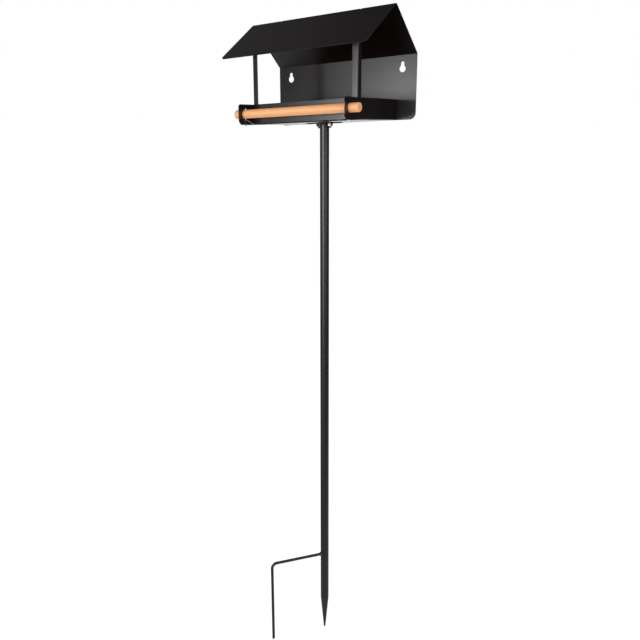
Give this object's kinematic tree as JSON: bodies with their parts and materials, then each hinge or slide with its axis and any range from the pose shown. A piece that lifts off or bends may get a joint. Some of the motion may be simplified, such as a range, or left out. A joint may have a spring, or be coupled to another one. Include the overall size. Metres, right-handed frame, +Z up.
{
  "type": "bird feeder on ground stake",
  "caption": "Open-fronted bird feeder house of folded black sheet steel with a wooden perch rod, bolted to a steel pole with a ground point and a step rod.",
  "frame": {"origin": "on the pole's axis at ground level, where the underside of the step rod's arm lies on the soil", "axes": "+Z up along the pole, -Y towards the open front with the perch, +X to the right seen from the front"},
  "size_m": [0.325, 0.2065, 1.3963],
  "materials": {
    "coated_sheet": "satin black powder coat with a fine skin",
    "coated_pole": "satin black powder coat on drawn tube and rod",
    "coated_weld": "powder coat over a rippled weld bead",
    "beech": "smooth turned hardwood, bare or thinly oiled",
    "bright_zinc": "bright zinc plated wire",
    "black_zinc": "blackened zinc on machine screws and nuts"
  },
  "bodies": {
    "feeder": {"hood": "coated_sheet", "tray": "coated_sheet", "left_post": "coated_sheet", "right_post": "coated_sheet", "left_post_weld": "coated_weld", "right_post_weld": "coated_weld", "mounting_plate": "coated_pole", "left_bolt": "black_zinc", "right_bolt": "black_zinc", "left_nut": "black_zinc", "right_nut": "black_zinc", "pole": "coated_pole", "pole_weld": "coated_weld", "ground_point": "coated_pole", "step_rod": "coated_pole", "step_weld": "coated_weld"},
    "perch": {"perch": "beech", "left_split_pin": "bright_zinc", "right_split_pin": "bright_zinc"}
  },
  "joints": [
    {"name": "perch_spin", "type": "hinge", "parent": "feeder", "child": "perch", "pos_m": [0, -0.109, 1.016], "axis": [1, 0, 0], "continuous": true}
  ]
}
